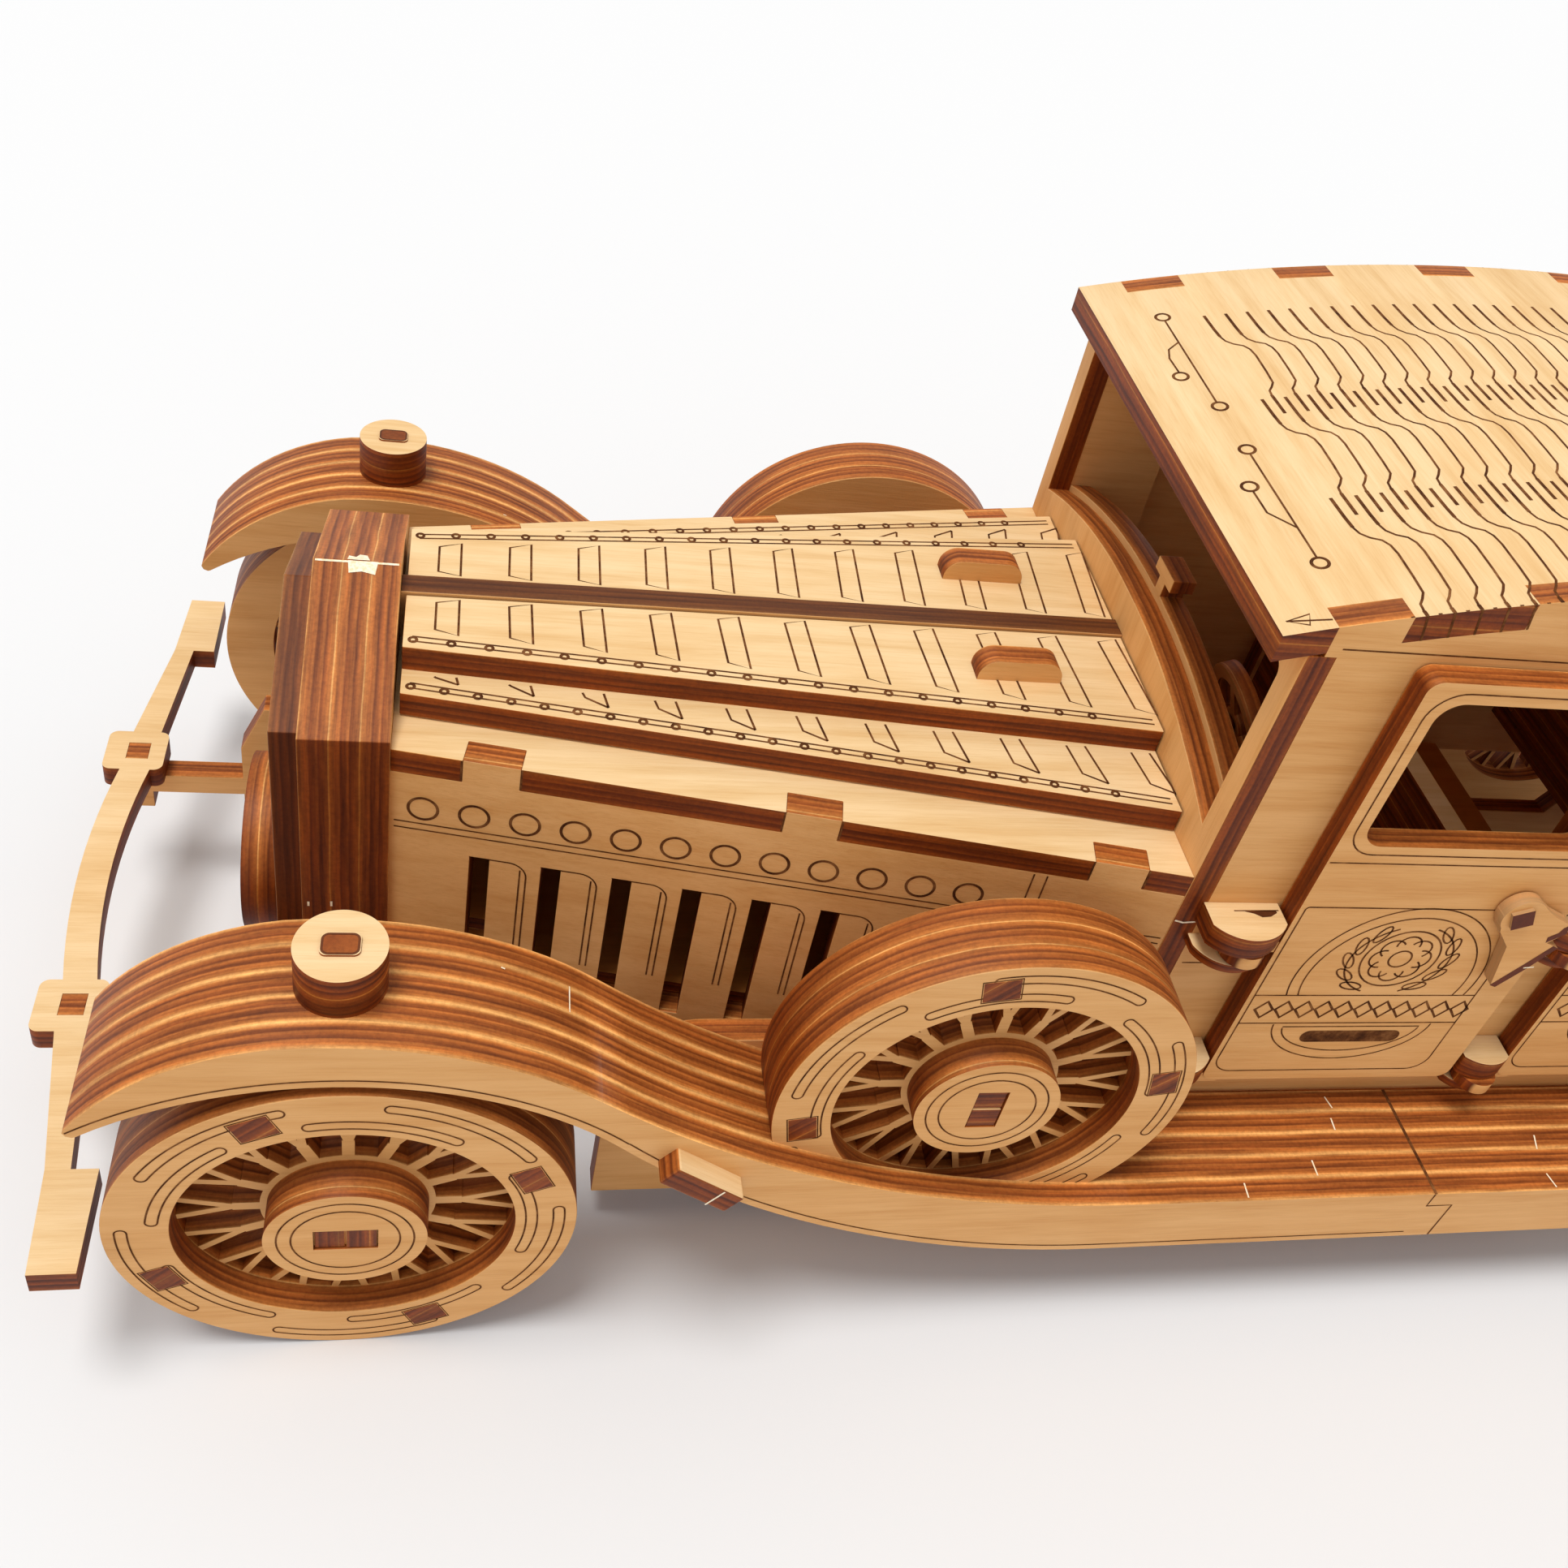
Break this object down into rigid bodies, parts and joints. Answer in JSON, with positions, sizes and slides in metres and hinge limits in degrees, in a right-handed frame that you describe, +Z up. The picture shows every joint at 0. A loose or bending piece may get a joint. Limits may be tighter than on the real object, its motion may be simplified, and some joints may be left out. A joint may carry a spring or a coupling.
{
  "type": "wooden jigsaw car model",
  "caption": "Laser-cut plywood jigsaw model of a vintage saloon car with turning wheels, opening doors, lifting bonnet halves and side-mounted spare wheels.",
  "frame": {"origin": "middle of the overall box, on the ground plane the wheels stand on", "axes": "+X to the front of the car, +Y to its left side, +Z up"},
  "size_m": [0.348, 0.138, 0.1347],
  "materials": {
    "birch_ply": "satin",
    "laminated_ply": "matte",
    "scorched_ply": "matte"
  },
  "bodies": {
    "base": {"rail_l": "birch_ply", "rail_r": "birch_ply", "cross_members": "birch_ply", "floor_panel": "birch_ply", "sill_l": "birch_ply", "sill_r": "birch_ply", "bumper_front": "birch_ply", "bumper_rear": "birch_ply", "radiator_shell": "laminated_ply", "radiator_grille": "scorched_ply", "front_roundel": "laminated_ply", "hood_side_l": "birch_ply", "hood_side_r": "birch_ply", "hood_deck": "birch_ply", "bonnet_spine": "scorched_ply", "cowl_frame": "birch_ply", "dashboard": "birch_ply", "steering_column": "laminated_ply", "body_side_l": "birch_ply", "body_side_r": "birch_ply", "roof_panel": "birch_ply", "rear_panel": "birch_ply", "seats": "birch_ply", "fender_front_l": "laminated_ply", "fender_front_r": "laminated_ply", "fender_rear_l": "laminated_ply", "fender_rear_r": "laminated_ply", "lamp_l": "birch_ply", "lamp_r": "birch_ply", "hinges_l": "birch_ply", "hinges_r": "birch_ply", "spare_tyre_l": "laminated_ply", "spare_spider_l": "birch_ply", "spare_tyre_r": "laminated_ply", "spare_spider_r": "birch_ply"},
    "bonnet_l": {"bonnet_upper_l": "birch_ply", "bonnet_lower_l": "birch_ply", "bonnet_tab_l": "laminated_ply"},
    "bonnet_r": {"bonnet_upper_r": "birch_ply", "bonnet_lower_r": "birch_ply", "bonnet_tab_r": "laminated_ply"},
    "door_fl": {"door_fl": "birch_ply"},
    "door_fr": {"door_fr": "birch_ply"},
    "door_rl": {"door_rl": "birch_ply"},
    "door_rr": {"door_rr": "birch_ply"},
    "handle_fl": {"handle_fl": "birch_ply"},
    "handle_fr": {"handle_fr": "birch_ply"},
    "handle_rl": {"handle_rl": "birch_ply"},
    "handle_rr": {"handle_rr": "birch_ply"},
    "wheelset_front": {"axle_front": "laminated_ply", "tyre_fl": "laminated_ply", "spider_fl": "birch_ply", "tyre_fr": "laminated_ply", "spider_fr": "birch_ply"},
    "wheelset_rear": {"axle_rear": "laminated_ply", "tyre_rl": "laminated_ply", "spider_rl": "birch_ply", "tyre_rr": "laminated_ply", "spider_rr": "birch_ply"},
    "steering_wheel": {"steering_wheel": "birch_ply"}
  },
  "joints": [
    {"name": "front_axle_turns", "type": "hinge", "parent": "base", "child": "wheelset_front", "pos_m": [0.128, 0, 0.03], "axis": [0, 1, 0], "continuous": true},
    {"name": "rear_axle_turns", "type": "hinge", "parent": "base", "child": "wheelset_rear", "pos_m": [-0.128, 0, 0.03], "axis": [0, 1, 0], "continuous": true},
    {"name": "bonnet_left_lifts", "type": "hinge", "parent": "base", "child": "bonnet_l", "pos_m": [0.07, 0.00225, 0.0871], "axis": [1, 0, 0], "range_deg": [0, 60]},
    {"name": "bonnet_right_lifts", "type": "hinge", "parent": "base", "child": "bonnet_r", "pos_m": [0.07, -0.00225, 0.0871], "axis": [-1, 0, 0], "range_deg": [0, 60]},
    {"name": "door_fl_opens", "type": "hinge", "parent": "base", "child": "door_fl", "pos_m": [0.007, 0.0489, 0.069], "axis": [0, 0, -1], "range_deg": [0, 65]},
    {"name": "door_fr_opens", "type": "hinge", "parent": "base", "child": "door_fr", "pos_m": [0.007, -0.0489, 0.069], "axis": [0, 0, 1], "range_deg": [0, 65]},
    {"name": "door_rl_opens", "type": "hinge", "parent": "base", "child": "door_rl", "pos_m": [-0.0474, 0.0489, 0.069], "axis": [0, 0, -1], "range_deg": [0, 65]},
    {"name": "door_rr_opens", "type": "hinge", "parent": "base", "child": "door_rr", "pos_m": [-0.0474, -0.0489, 0.069], "axis": [0, 0, 1], "range_deg": [0, 65]},
    {"name": "handle_fl_turns", "type": "hinge", "parent": "door_fl", "child": "handle_fl", "pos_m": [-0.0322, 0.0504, 0.079], "axis": [0, -1, 0], "range_deg": [0, 90]},
    {"name": "handle_fr_turns", "type": "hinge", "parent": "door_fr", "child": "handle_fr", "pos_m": [-0.0322, -0.0504, 0.079], "axis": [0, -1, 0], "range_deg": [0, 90]},
    {"name": "handle_rl_turns", "type": "hinge", "parent": "door_rl", "child": "handle_rl", "pos_m": [-0.0852, 0.0504, 0.079], "axis": [0, -1, 0], "range_deg": [0, 90]},
    {"name": "handle_rr_turns", "type": "hinge", "parent": "door_rr", "child": "handle_rr", "pos_m": [-0.0852, -0.0504, 0.079], "axis": [0, -1, 0], "range_deg": [0, 90]},
    {"name": "steering_wheel_turns", "type": "hinge", "parent": "base", "child": "steering_wheel", "pos_m": [-0.002, 0.013, 0.0805], "axis": [-0.9272, 0, 0.3746], "continuous": true}
  ]
}
